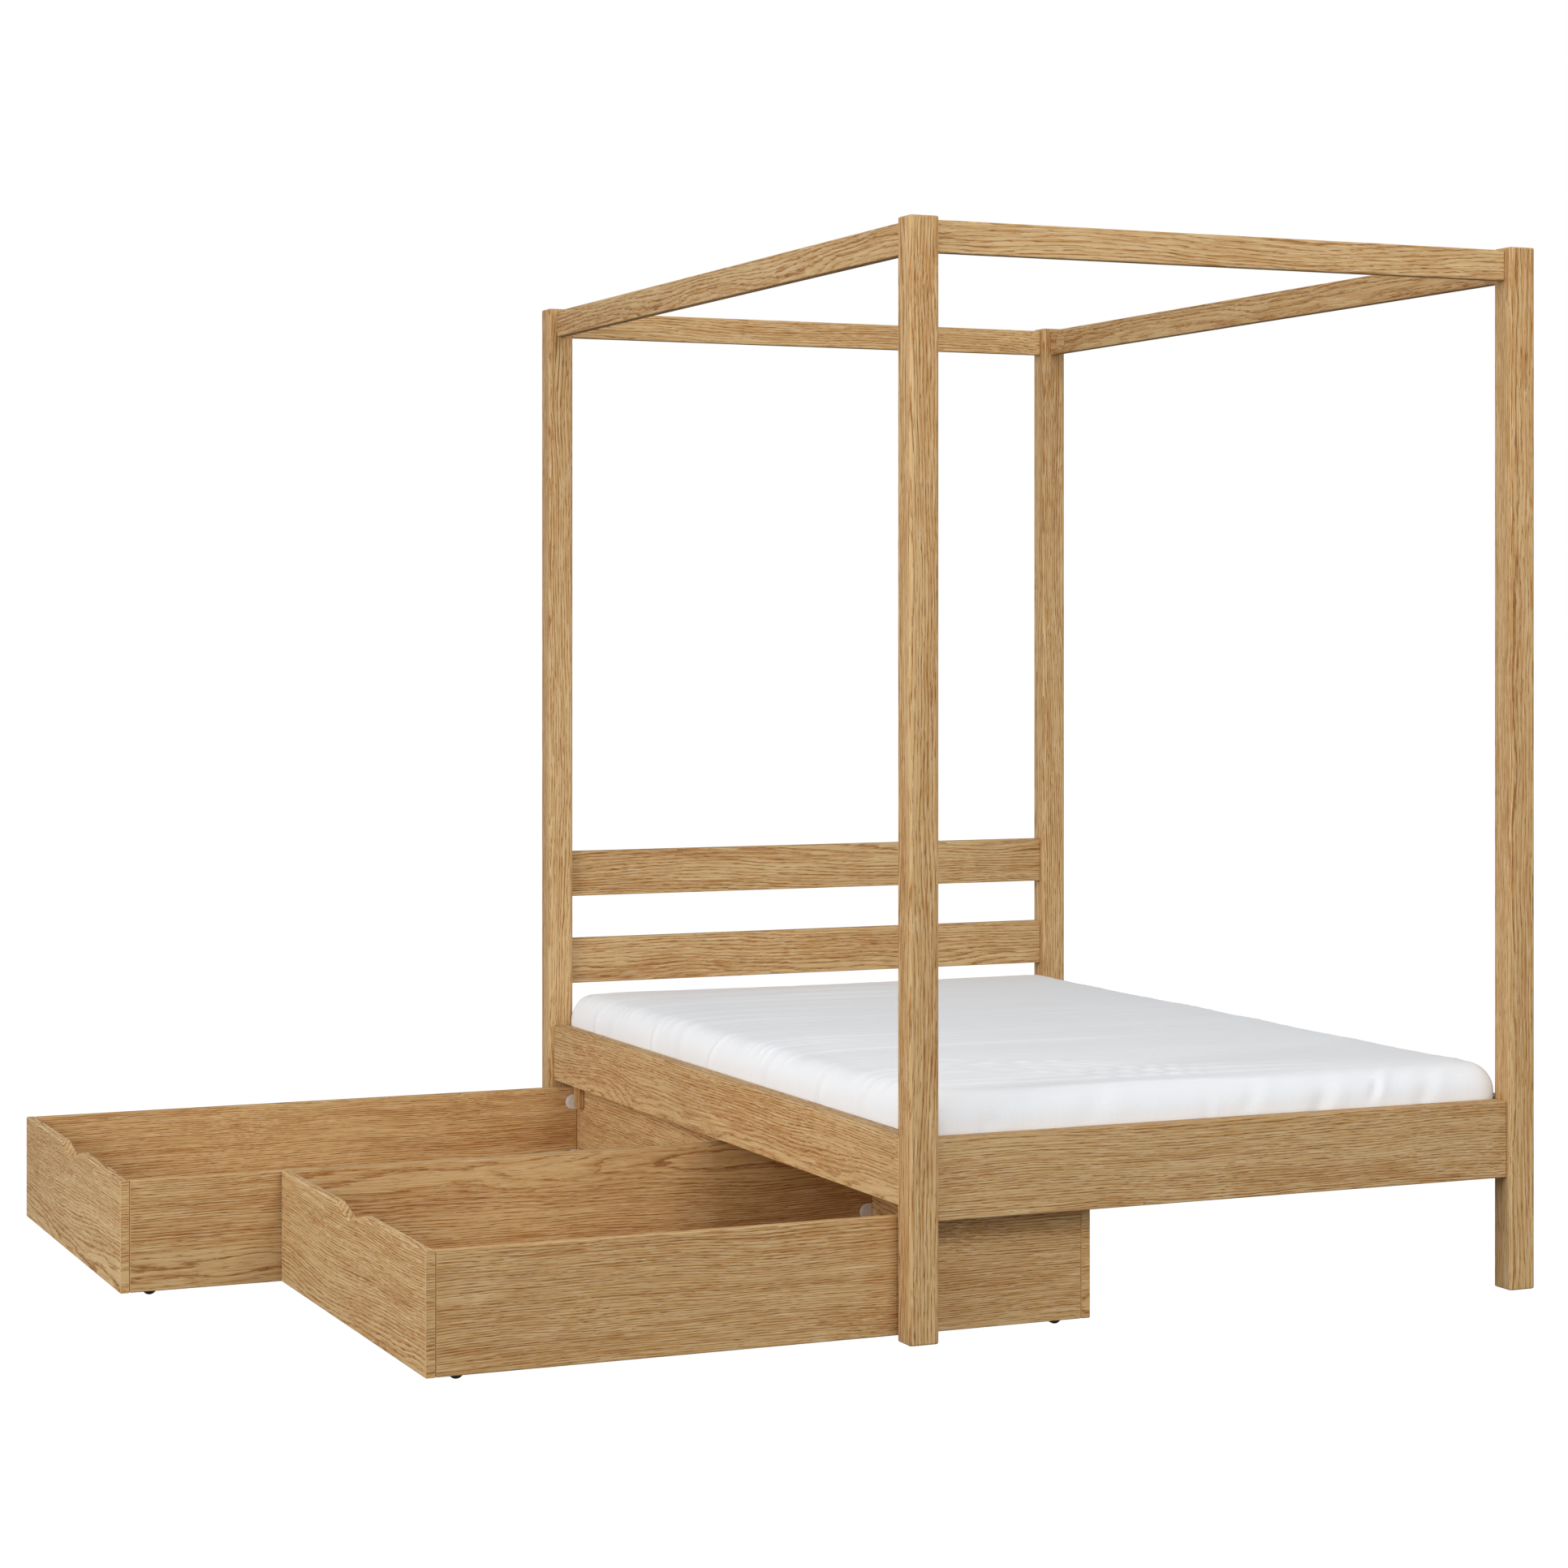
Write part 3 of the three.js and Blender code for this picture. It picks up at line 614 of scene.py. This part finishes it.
def cushion_block(half, edge, corner, size):
    """A block with round edges as a closed quad surface: a box's six grids of points p, each pulled to
    the inner box q = clamp(p) that is smaller by the rounding, then pushed out from q along p - q by the
    rounding. The plan corners use the larger corner radius, so x and y are first rounded in plan."""
    counts = np.maximum(2, np.round(2 * half / size)).astype(int)
    lines = [np.linspace(-1, 1, n + 1) for n in counts]
    sheets = []
    for axis in range(3):
        u, v = [i for i in range(3) if i != axis]
        for way in (-1, 1):
            gu, gv = np.meshgrid(lines[u], lines[v], indexing="ij")
            p = np.zeros(gu.shape + (3,))
            p[..., u], p[..., v], p[..., axis] = gu, gv, way
            sheets.append((p.reshape(-1, 3), grid_faces(len(lines[u]), len(lines[v]))))
    unit, faces = joined(sheets)
    p = unit * half
    # rounding in plan: keep points on the straight runs, carry the corner ones onto an arc
    inner = half[:2] - corner
    q = np.clip(p[:, :2], -inner, inner)
    d = p[:, :2] - q
    longest = np.maximum(np.abs(d).max(axis=1), 1e-12)
    length = np.maximum(np.linalg.norm(d, axis=1), 1e-12)
    plan = q + d * (longest / length)[:, None]
    # rounding in height: the same with the distance in from the rim and the height
    beyond = np.abs(d) > 1e-9
    depth = corner - np.linalg.norm(plan - q, axis=1)
    side = (half[:2] - np.abs(plan)).min(axis=1)
    inset = np.where(beyond.all(axis=1), depth, side)
    e = np.clip(edge - inset, 0, edge)
    f = np.clip(np.abs(p[:, 2]) - (half[2] - edge), 0, edge)
    scale = np.where((e > 0) & (f > 0), np.maximum(e, f) / np.maximum(np.hypot(e, f), 1e-12), 1.0)
    z = np.sign(p[:, 2]) * np.where(f > 0, half[2] - edge + f * scale, np.abs(p[:, 2]))
    outward = np.where(beyond.any(axis=1)[:, None], d / length[:, None], 0.0)
    return np.column_stack([plan - outward * (e - e * scale)[:, None], z]), faces


def swell(piece, limit):
    """Inflates a closed piece with Blender's cloth for twenty frames, with gravity off, and keeps every
    point within the limit of where it began."""
    scene = bpy.context.scene
    start = np.empty(len(piece.data.vertices) * 3)
    piece.data.vertices.foreach_get("co", start)
    cloth = piece.modifiers.new("cover", "CLOTH")
    settings = cloth.settings
    settings.quality = 6
    settings.mass = 0.25
    settings.tension_stiffness = settings.compression_stiffness = 18
    settings.shear_stiffness = 8
    settings.bending_stiffness = 1.2
    settings.shrink_min = -0.012
    settings.use_pressure = True
    settings.uniform_pressure_force = 4
    settings.effector_weights.gravity = 0
    cloth.collision_settings.use_collision = False
    cloth.point_cache.frame_start, cloth.point_cache.frame_end = 1, 20
    for number in range(1, 21):
        scene.frame_set(number)
    evaluated = piece.evaluated_get(bpy.context.evaluated_depsgraph_get())
    end = np.empty_like(start)
    evaluated.data.vertices.foreach_get("co", end)
    piece.modifiers.remove(cloth)
    scene.frame_set(1)
    move = (end - start).reshape(-1, 3)
    length = np.maximum(np.linalg.norm(move, axis=1, keepdims=True), 1e-12)
    move *= np.minimum(1.0, limit / length)
    piece.data.vertices.foreach_set("co", (start.reshape(-1, 3) + move).ravel())
    piece.data.update()


def refine(piece):
    """One subdivision, applied to the mesh."""
    modifier = piece.modifiers.new("refine", "SUBSURF")
    modifier.levels = modifier.render_levels = 1
    evaluated = piece.evaluated_get(bpy.context.evaluated_depsgraph_get())
    mesh = bpy.data.meshes.new_from_object(evaluated)
    piece.modifiers.remove(modifier)
    old, piece.data = piece.data, mesh
    bpy.data.meshes.remove(old)
    mesh.name = piece.name


def rumple(x, y, seed):
    """Smooth random hills: a fixed table of random heights at whole numbers of x and y, blended between
    them by the smooth step 3t^2 - 2t^3 both ways. Values lie from 0 to 1."""
    table = np.random.default_rng(seed).random((256, 256))
    ix, iy = np.floor(x).astype(int), np.floor(y).astype(int)
    fx, fy = x - ix, y - iy
    fx, fy = fx * fx * (3 - 2 * fx), fy * fy * (3 - 2 * fy)
    a, b = table[ix % 256, iy % 256], table[(ix + 1) % 256, iy % 256]
    c, d = table[ix % 256, (iy + 1) % 256], table[(ix + 1) % 256, (iy + 1) % 256]
    return (a * (1 - fx) + b * fx) * (1 - fy) + (c * (1 - fx) + d * fx) * fy


def fall(value, middle, width):
    """A smooth fall from 1 to 0 as a value passes the middle: 1 / (1 + exp((v - m) / w))."""
    return 1 / (1 + np.exp((value - middle) / width))


def fold(distance, width):
    """One fold's section: a raised ridge with a shallow valley beside it, as a bell exp(-(d/w)^2) less
    half a bell 1.6 widths further on."""
    return np.exp(-(distance / width) ** 2) - 0.5 * np.exp(-((distance - 1.6 * width) / width) ** 2)


# the drawer side's upright folds: place along the bed in mm, lean, width in mm, height in crease depths
DRAWER_SIDE_FOLDS = (
    (797, 0.10, 14, 0.9), (690, -0.05, 22, 0.6), (421, 0.12, 12, 1.1), (250, 0.1, 26, 0.8),
    (-240, -0.08, 20, 0.7), (-520, 0.06, 16, 0.8), (-730, -0.1, 22, 0.7))
# the foot side's pinches: place across and height as parts of the half sizes, width in mm, depth in
# crease depths
FOOT_PINCHES = (
    (0.54, 0.52, 9, 3.0), (0.34, 0.25, 19, 2.6), (0.09, 0.42, 17, 1.3),
    (-0.80, 0.28, 20, 2.4), (-0.44, 0.50, 24, 1.2), (0.72, 0.35, 16, 1.5))


def crease(piece, centre, half, depth, bulge):
    """Shapes the creases in the cover, in millimetres from the middle. On top, long shallow ripples run
    across the bed and fade at the far side, a fan of folds sweeps from the drawer side down to the foot,
    and broad folds run off the foot end to the far corner. On the drawer side are upright folds and one
    that climbs over the edge. The foot side has leaning pinches, and the foot, head and far sides have
    soft upright folds. Each moves the points along their normals by a height times the crease depth, and
    the sides lean out by half a sine wave times the bulge."""
    mesh = piece.data
    count = len(mesh.vertices)
    co = np.empty(count * 3)
    normal = np.empty(count * 3)
    mesh.vertices.foreach_get("co", co)
    mesh.vertices.foreach_get("normal", normal)
    co, normal = co.reshape(-1, 3), normal.reshape(-1, 3)
    x, y, z = ((co - centre) * 1000).T
    wide, long, tall = half * 1000
    up = np.clip(normal[:, 2], 0, 1) ** 1.5
    out = np.clip(1 - np.abs(normal[:, 2]), 0, 1)
    rng = np.random.default_rng(11)
    # long ripples across the top
    bend = 34 * rumple(x / 420 + 3, y / 300 + 5, 1) + 0.05 * x
    fine = rumple(x / 900 + 7, (y + bend) / 36 + 90, 2)
    broad = rumple(x / 1000 + 2, (y + bend) / 85 + 40, 3)
    where = rumple(x / 500 + 9, y / 170 + 20, 4)
    ripple = 1.8 * (1 - np.abs(2 * fine - 1)) ** 3 + 4.0 * broad
    lift = up * (0.25 + 0.75 * fall(x, 0.35 * wide, 140)) * (0.2 + where) * ripple
    # the fan near the foot: side by side, bending more and more to the foot
    along = np.clip(x + 0.7 * wide, 0, None)
    slope = 0.55 + 0.0018 * along
    sweep = 0.55 * along + 0.0009 * along ** 2
    bell = fall(-y, 0.95 * long, 20) * fall(-x, 0.66 * wide, 45) * fall(x, 0.02 * wide, 30)
    for i in range(-1, 5):
        line = (y + 560 + 50 * i + rng.uniform(-8, 8) + sweep) / np.hypot(1, slope)
        lift += up * bell * fold(line, rng.uniform(10, 14)) * rng.uniform(0.5, 1.1)
    # broad folds that start at the foot and run off to the far side at the far corner
    for i in range(6):
        line = (x - 150 - 62 * i - rng.uniform(-12, 12) - (y + long)) / math.sqrt(2)
        bell = np.exp(-((y + long - 30) / rng.uniform(70, 120)) ** 2)
        lift += (up + 0.35 * out) * bell * fold(line, rng.uniform(12, 19)) * rng.uniform(0.4, 0.9)
    # the drawer side: soft upright folds, one of them long and bent over the edge
    drawer_side = out * (x < 0) * (np.abs(normal[:, 0]) > 0.5)
    for place, lean, width, height in DRAWER_SIDE_FOLDS:
        lift += drawer_side * fold(y - place - lean * z, width) * height
    over = np.clip(x + wide, 0, 400)
    bent = y - 62 + 0.35 * (z - tall) * (over < 60) + 0.0011 * over ** 2
    lift += np.clip(out * (x < 0) + up * np.exp(-over / 130), 0, 1) * fold(bent, 12) * 1.3
    # the foot side and the two hidden sides: upright folds of random place and width
    end_side = out * (np.abs(normal[:, 1]) > 0.5)
    far_side = out * (np.abs(normal[:, 0]) > 0.5)
    for side, along, reach in ((end_side * (y < 0), x, wide), (end_side * (y > 0), x, wide),
                               (far_side * (x > 0), y, long)):
        for _ in range(int(reach / 85)):
            place, width = rng.uniform(-0.92, 0.92) * reach, rng.uniform(9, 24)
            bell = fall(z, rng.uniform(-0.2, 0.9) * tall, 14)
            line = along - place - rng.normal(0, 0.12) * z
            lift += side * bell * fold(line, width) * rng.uniform(-0.9, 0.9)
    # the foot side's pinches, each a leaning dimple with a low ridge beside it
    foot = (y < 0) * np.clip(-normal[:, 1] * 1.6, 0, 1)
    for place, level, size, deep in FOOT_PINCHES:
        dz = z - level * tall
        lean = x - place * wide - 0.45 * dz
        dimple = np.exp(-(lean / size) ** 2 - (dz / (1.5 * size)) ** 2)
        ridge = np.exp(-((lean - 1.9 * size) / size) ** 2 - ((dz - size) / (2.4 * size)) ** 2)
        lift += foot * deep * (0.4 * ridge - dimple)
    lean_out = out * np.clip(np.sin(np.pi * np.clip((z + 0.5 * tall) / (1.5 * tall), 0, 1)), 0, 1)
    co += normal * (lift * depth + lean_out * bulge)[:, None]
    mesh.vertices.foreach_set("co", co.ravel())
    mesh.polygons.foreach_set("use_smooth", np.full(len(mesh.polygons), True))
    mesh.update()


def press(piece, centre, gap):
    """Presses the cover back where it would enter the rails or the posts. Below the rails' tops a point
    is held within their inner faces, and above them this limit eases away. At a post, a point that is
    past both of its inner faces goes back to the nearer one."""
    mesh = piece.data
    co = np.empty(len(mesh.vertices) * 3)
    mesh.vertices.foreach_get("co", co)
    co = co.reshape(-1, 3)
    side = corners("side_rail_right")[0][0] - centre[0] - gap
    end = corners("end_rail_head")[0][1] - centre[1] - gap
    post = corners("post_head_right")[0][:2] - centre[:2] - gap
    above = np.clip((co[:, 2] - corners("side_rail_right")[1][2]) / 0.012, 0, 1)
    offset = co[:, :2] - centre[:2]
    reach = np.minimum(np.abs(offset), np.array([side, end]) + (above ** 0.5 * 0.02)[:, None])
    over = reach - post
    inside = (over > 0).all(axis=1)
    nearer = over[:, 0] < over[:, 1]
    reach[:, 0] = np.where(inside & nearer, post[0], reach[:, 0])
    reach[:, 1] = np.where(inside & ~nearer, post[1], reach[:, 1])
    co[:, :2] = centre[:2] + np.sign(offset) * reach
    mesh.vertices.foreach_set("co", co.ravel())
    mesh.update()


def wheel_profile(radius, wide):
    """A wheel's closed section as (radius, height) points, half of it and then its mirror image: bore,
    hub, dished web, rim, and a tyre with round shoulders and a shallow groove."""
    bore, hub, web, rim = 0.0034, 0.0058, 0.0064, 0.0102
    dish = wide - 0.0022
    half_section = np.array([
        (bore, wide), (hub, wide), (hub + 0.0004, wide - 0.0004), (web, dish), (rim - 0.0006, dish),
        (rim, wide - 0.0003), (radius - 0.0016, wide), (radius - 0.0005, wide - 0.0005),
        (radius, wide - 0.0016), (radius, 0.0022), (radius - 0.0005, 0.0017)])
    return np.concatenate([half_section, half_section[::-1] * (1, -1), half_section[:1]])


class BED_OT_wheels(bpy.types.Operator):
    """Make the drawer wheels: a grooved tyre, a dished web and a hub with its bore"""

    bl_idname = "bed.wheels"
    bl_label = "Make the wheels"

    def execute(self, context):
        finish = context.scene.bed_fittings
        black = plastic("wheel_black", finish.black, 0.42)
        for drawer, end, side in WHEELS:
            node = f"{drawer}_wheel_{end}_{side}"
            low, high = corners(node)
            radius, wide = (high - low)[:2] / 2
            points, faces = turned(wheel_profile(radius, wide), (low + high) / 2, (0, 1, 0), finish.facets)
            piece = make_piece(node + "_finished", points, faces)
            edges(piece, 40)
            dress(piece, black)
            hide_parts(node)
            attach(piece, node)
        return {"FINISHED"}


class BED_OT_forks(bpy.types.Operator):
    """Finish the wheel forks, and add the axle heads and plate screws"""

    bl_idname = "bed.forks"
    bl_label = "Finish the forks"

    def execute(self, context):
        finish = context.scene.bed_fittings
        black = plastic("fork_black", finish.black, 0.5)
        steel = screw_steel("axle_steel", finish.steel)
        # a low dome on a round foot, as (radius, height) points
        dome = np.concatenate([[(0.0, 0.0)], [(0.0045, 0.0)], arc((0.0, -0.0028), 0.0053, 32, 90, 6)])
        for drawer, end, side in WHEELS:
            node = f"{drawer}_fork_{end}_{side}"
            for place in frame["nodes"][node].material_slots:
                place.material = black
            low, high = corners(node)
            wheel_low, wheel_high = corners(f"{drawer}_wheel_{end}_{side}")
            hub = (wheel_low + wheel_high) / 2
            # the fork's plate reaches further to one side of the wheel, and its screws stand there
            inward = -1 if hub[1] - low[1] > high[1] - hub[1] else 1
            near, lip = (high[1], low[1]) if inward < 0 else (low[1], high[1])
            cheek = np.array([0, inward * (abs(near - hub[1]) + 0.00005), 0])
            parts = [turned(dome, hub + cheek, (0, inward, 0), 24),
                     turned(dome * (1.0, 0.14), hub - cheek, (0, -inward, 0), 24)]
            for dx in (-0.016, 0.016):
                spot = (hub[0] + dx, lip - inward * 0.0065, high[2] - 0.00305)
                parts.append(turned(dome * (0.75, 0.7), spot, (0, 0, -1), 20))
            points, faces = joined(parts)
            piece = make_piece(f"{drawer}_axle_{end}_{side}", points, faces)
            dress(piece, steel)
            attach(piece, drawer)
        return {"FINISHED"}


def corner_fitting(back, face, way, height):
    """A round-nosed plate with a raised middle, against a drawer's back: its outline is drawn along the
    wall and up, and its thickness stands out of the wall's face."""
    radius, straight = 0.0165, 0.0105
    nose = arc((back - straight, 0.0), radius, 90, 270, 25)
    outline = np.concatenate([[(back, -radius), (back, radius)], nose])
    raised = (outline - (back - 0.006, 0)) * 0.8 + (back - 0.0072, 0)
    points, faces = joined([slab(outline, 0.0002, 0.0022, 0.0006), slab(raised, 0.0018, 0.0030, 0.0005)])
    return np.column_stack([points[:, 0], face + way * points[:, 2], height + points[:, 1]]), faces


class BED_OT_corners(bpy.types.Operator):
    """Make the white round-ended corner fittings inside the drawers"""

    bl_idname = "bed.corners"
    bl_label = "Make the corner fittings"

    def execute(self, context):
        finish = context.scene.bed_fittings
        white = plastic("fitting_white", finish.white, 0.35)
        for drawer in DRAWERS:
            back = corners(f"{drawer}_back")[0][0] - 0.0003
            base_top = corners(f"{drawer}_base")[1][2]
            for side, way in (("foot", 1), ("head", -1)):
                wall_low, wall_high = corners(f"{drawer}_wall_{side}")
                face = wall_high[1] if way > 0 else wall_low[1]
                for level, height in (("upper", wall_high[2] - 0.034), ("lower", base_top + 0.017)):
                    points, faces = corner_fitting(back, face, way, height)
                    piece = make_piece(f"{drawer}_fitting_{side}_{level}", points, faces)
                    edges(piece, 35)
                    dress(piece, white)
                    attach(piece, drawer)
        return {"FINISHED"}


WHITE = (1, 1, 1, 1)
FLOOR_RINGS = (0.0, 6.0, 40.0, 300.0)       # radii of the floor's rings, in metres
FLOOR_SIDES = 96
FLOOR_DROP = 0.0008                         # how far the floor lies under the posts, in metres


class BED_OT_studio(bpy.types.Operator):
    """Set up the floor, the lights and the camera"""

    bl_idname = "bed.studio"
    bl_label = "Set up the studio"

    def execute(self, context):
        scene = context.scene
        studio = scene.bed_studio
        middle = np.array([BED_MIDDLE[0], BED_MIDDLE[1], BED_LOW[2]])
        self.floor(middle)
        self.room(scene, studio)
        self.softbox("key_softbox", middle + (-5.3, -1.6, 2.6), middle + (0, 0, 1.0), 2.2, studio.key)
        self.softbox("fill_softbox", middle + (-0.2, -5.2, 4.1), middle + (0, -0.2, 0.8), 2.0, studio.fill)
        camera = bpy.data.cameras.new("studio_camera")
        camera.sensor_width = 36
        camera.lens = studio.lens
        camera.shift_x, camera.shift_y = studio.shift_x, studio.shift_y
        camera.clip_start, camera.clip_end = 0.1, 500
        rig = bpy.data.objects.new("studio_camera", camera)
        rig.location = middle + np.array(studio.camera_place)
        rig.rotation_euler = (math.pi / 2, 0, -studio.turn)
        scene.collection.objects.link(rig)
        scene.camera = rig
        scene.view_settings.view_transform = "Standard"
        return {"FINISHED"}

    def floor(self, middle):
        """A wide round floor of grey paper that glows white to the camera and lights nothing."""
        t = np.linspace(0, 2 * np.pi, FLOOR_SIDES, endpoint=False)
        ring = np.stack([np.cos(t), np.sin(t), np.zeros(FLOOR_SIDES)], axis=-1)
        points = np.array(FLOOR_RINGS)[:, None, None] * ring - (0, 0, FLOOR_DROP)
        floor = make_piece("studio_floor", points.reshape(-1, 3) + middle,
                           grid_faces(len(FLOOR_RINGS), FLOOR_SIDES, wrap_columns=True))
        paint, r = new_recipe("floor_paper")
        grain = r.noise(r.add("ShaderNodeTexCoord").outputs["Object"], 30.0, 3.0)
        shade = r.mix(grain, (0.09, 0.09, 0.09, 1), (0.10, 0.10, 0.10, 1))
        r.surface(Base_Color=shade, Roughness=0.95, Specular_IOR_Level=0.0, Emission_Color=WHITE,
                  Emission_Strength=1.0)
        dress(floor, paint)
        floor.visible_diffuse = False
        floor.visible_glossy = False

    def room(self, scene, studio):
        """A room that is white to the camera. Its light is dim below the horizon, weaker overhead than
        near the horizon, and weaker from the far side."""
        scene.world = bpy.data.worlds.new("white_room")
        scene.world.use_nodes = True
        scene.world.node_tree.nodes.clear()
        r = Recipe(scene.world.node_tree)
        ray = r.add("ShaderNodeTexCoord").outputs["Generated"]
        up = r.add("ShaderNodeSeparateXYZ", Vector=ray).outputs[2]
        above, below = r.step(up, 0.0, 0.8, 1.13, 0.37), r.step(up, -0.25, 0.03, studio.ground, 1.0)
        strength = r.sum("MULTIPLY", above, below)
        behind = r.vector("DOT_PRODUCT", ray, (0.7, 0.7, 0.0))
        strength = r.sum("MULTIPLY", strength, r.step(behind, -0.3, 0.8, 1.0, studio.behind))
        strength = r.sum("MULTIPLY", strength, studio.sky)
        strength = r.sum("MAXIMUM", strength, r.add("ShaderNodeLightPath").outputs["Is Camera Ray"])
        light = r.add("ShaderNodeBackground", Color=WHITE, Strength=strength)
        r.add("ShaderNodeOutputWorld", Surface=light.outputs[0])

    def softbox(self, name, place, target, size, power):
        """A square area light that faces a target."""
        lamp = bpy.data.lights.new(name, "AREA")
        lamp.size = size
        lamp.energy = power
        holder = bpy.data.objects.new(name, lamp)
        holder.location = place
        holder.rotation_euler = (Vector(target) - Vector(place)).to_track_quat("-Z", "Y").to_euler()
        holder.visible_camera = False
        bpy.context.scene.collection.objects.link(holder)


OPERATORS = (BED_OT_oak, BED_OT_mattress, BED_OT_wheels, BED_OT_forks, BED_OT_corners, BED_OT_studio)


class BED_PT_panel(bpy.types.Panel):
    """Lists the bed's operators and settings in the sidebar"""

    bl_idname = "BED_PT_panel"
    bl_label = "Four poster bed"
    bl_space_type = "VIEW_3D"
    bl_region_type = "UI"
    bl_category = "Bed"

    def draw(self, context):
        for operator in OPERATORS:
            self.layout.operator(operator.bl_idname)
        for name in PROPERTIES:
            group = getattr(context.scene, name)
            box = self.layout.box()
            for key in group.__annotations__:
                box.prop(group, key)


PROPERTIES = {"bed_oak": OakFinish, "bed_mattress": MattressFinish, "bed_fittings": FittingFinish,
              "bed_studio": StudioSettings}


def register():
    for cls in (*PROPERTIES.values(), *OPERATORS, BED_PT_panel):
        bpy.utils.register_class(cls)
    for name, cls in PROPERTIES.items():
        setattr(bpy.types.Scene, name, PointerProperty(type=cls))


def unregister():
    for name in PROPERTIES:
        delattr(bpy.types.Scene, name)
    for cls in reversed((*PROPERTIES.values(), *OPERATORS, BED_PT_panel)):
        bpy.utils.unregister_class(cls)


def main():
    """Registers the classes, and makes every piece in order."""
    register()
    for operator in OPERATORS:
        getattr(bpy.ops.bed, operator.bl_idname.split(".")[1])()


if __name__ == "__main__":
    main()
